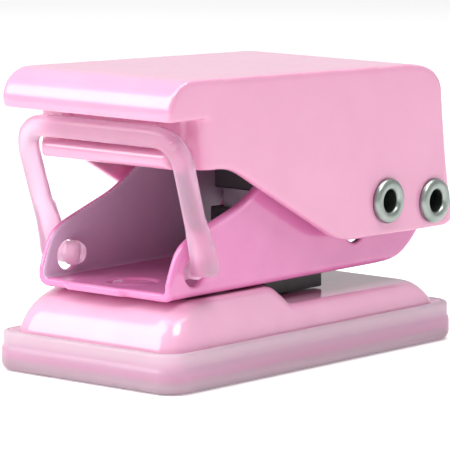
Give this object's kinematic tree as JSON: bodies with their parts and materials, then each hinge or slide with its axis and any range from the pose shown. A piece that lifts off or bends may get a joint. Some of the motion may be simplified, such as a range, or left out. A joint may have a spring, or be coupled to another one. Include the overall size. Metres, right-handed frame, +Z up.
{
  "type": "corner rounder",
  "caption": "Pocket corner rounder: a hinged handle drives a punch through a die under a channel frame, with a swing-off latch loop and a pull-off tray for the trimmings.",
  "frame": {"origin": "middle of the bounding box, on the plane that the tray stands on", "axes": "+Z up; +Y along the length towards the pivot end, where the paper goes in; +X across the width, so the latch is at -Y"},
  "size_m": [0.0378, 0.0712, 0.047],
  "materials": {
    "pink_paint": "glossy pink paint on pressed steel",
    "pink_plastic": "glossy pink moulding",
    "frosted_plastic": "frosted, slightly see-through",
    "black_plastic": "satin black moulding",
    "bright_steel": "bright nickel-plated",
    "tool_steel": "ground tool steel"
  },
  "bodies": {
    "base": {"base_pan": "pink_paint", "die_plate": "tool_steel", "corner_guide": "black_plastic", "channel_frame": "pink_paint", "blade_guide": "black_plastic", "front_rivet": "pink_paint", "die_rivet_left": "bright_steel", "die_rivet_right": "bright_steel", "guide_screw_left": "bright_steel", "guide_screw_right": "bright_steel", "tower_screw_left": "bright_steel", "tower_screw_right": "bright_steel", "rear_rivet_left": "bright_steel", "rear_rivet_right": "bright_steel"},
    "handle": {"handle_shell": "pink_plastic", "pivot_rivet": "bright_steel", "lever_rivet": "bright_steel", "press_lever": "tool_steel", "pivot_washer_left": "black_plastic", "pivot_washer_right": "black_plastic"},
    "cutter": {"cutter_blade": "tool_steel", "cutter_head": "black_plastic", "blade_pin": "bright_steel", "return_spring_left": "bright_steel", "return_spring_right": "bright_steel"},
    "latch": {"latch_loop": "frosted_plastic"},
    "tray": {"chip_tray": "frosted_plastic"}
  },
  "joints": [
    {"name": "handle_hinge", "type": "hinge", "parent": "base", "child": "handle", "pos_m": [0, 0.0293, 0.0229], "axis": [-1, 0, 0], "range_deg": [0, 13]},
    {"name": "cutter_slide", "type": "slide", "parent": "base", "child": "cutter", "axis": [0, 0, 1], "range_m": [0, 0.0045], "deforming": ["return_spring_left", "return_spring_right"]},
    {"name": "latch_swing", "type": "hinge", "parent": "base", "child": "latch", "pos_m": [0, -0.0246, 0.0178], "axis": [1, 0, 0], "range_deg": [0, 105]},
    {"name": "tray_slide", "type": "slide", "parent": "base", "child": "tray", "axis": [0, 0, -1], "range_m": [0, 0.012]}
  ],
  "couplings": [
    {"joint": "cutter_slide", "follows": "handle_hinge", "m_per_rad": 0.0195},
    {"joint": "latch_swing", "follows": "handle_hinge", "ratio": 8}
  ]
}
